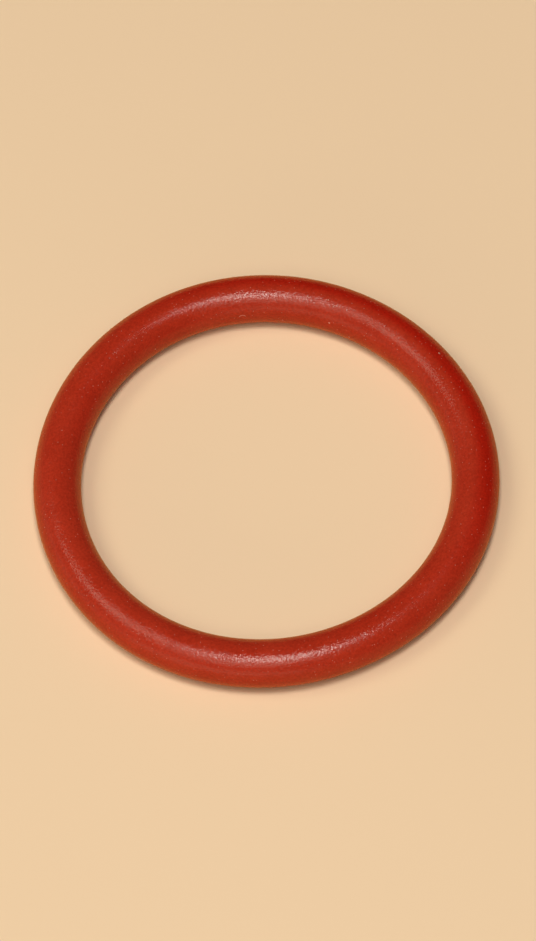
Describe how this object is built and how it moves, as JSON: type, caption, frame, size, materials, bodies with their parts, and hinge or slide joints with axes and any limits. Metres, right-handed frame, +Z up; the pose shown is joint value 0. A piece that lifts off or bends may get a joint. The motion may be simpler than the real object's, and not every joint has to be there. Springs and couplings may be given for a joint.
{
  "type": "o-ring",
  "caption": "Round sealing ring moulded in one piece from solid red silicone rubber, with a circular section and a satin surface.",
  "frame": {"origin": "on the ring's axis, level with the plane that the ring rests on", "axes": "+Z up along the ring's axis; X and Y lie in the plane of the ring"},
  "size_m": [0.034, 0.034, 0.0035],
  "materials": {
    "silicone": "satin moulded silicone rubber, brick red all through"
  },
  "bodies": {
    "root": {"o_ring": "silicone"}
  },
  "joints": []
}
